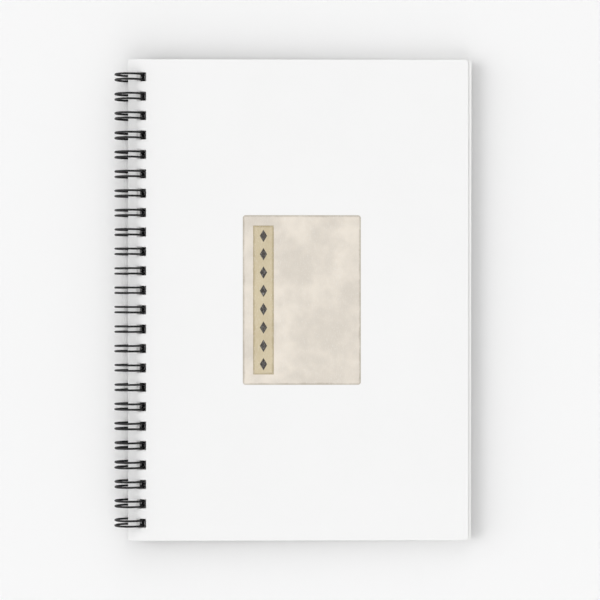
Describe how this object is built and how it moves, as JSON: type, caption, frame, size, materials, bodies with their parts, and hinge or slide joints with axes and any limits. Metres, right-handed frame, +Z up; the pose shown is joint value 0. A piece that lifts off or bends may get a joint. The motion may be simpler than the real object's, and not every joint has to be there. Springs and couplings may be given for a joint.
{
  "type": "spiral notebook",
  "caption": "A5 wire-bound notebook: card covers that turn on a black twin-loop wire, plain leaves and a small printed panel.",
  "frame": {"origin": "centre of the bounding box's base, on the table under the middle of the closed notebook", "axes": "+X from the wire towards the fore-edge, +Y along the spine from tail to head, +Z up out of the front cover"},
  "size_m": [0.1562, 0.21, 0.0122],
  "materials": {
    "cover_card": "satin",
    "back_card": "matte",
    "leaf_paper": "matte",
    "coated_wire": "satin",
    "cream_ink": "matte",
    "tan_ink": "matte",
    "charcoal_ink": "matte"
  },
  "bodies": {
    "binding": {"page_block": "leaf_paper", "wire_binding": "coated_wire"},
    "front_cover": {"front_cover": "cover_card", "printed_panel": "cream_ink", "printed_band": "tan_ink", "printed_marks": "charcoal_ink"},
    "back_cover": {"back_cover": "back_card"}
  },
  "joints": [
    {"name": "front_cover_hinge", "type": "hinge", "parent": "binding", "child": "front_cover", "pos_m": [-0.07205, 0, 0.00609], "axis": [0, -1, 0], "range_deg": [0, 182]},
    {"name": "back_cover_hinge", "type": "hinge", "parent": "binding", "child": "back_cover", "pos_m": [-0.07205, 0, 0.00609], "axis": [0, -1, 0], "range_deg": [-180, 0]}
  ]
}
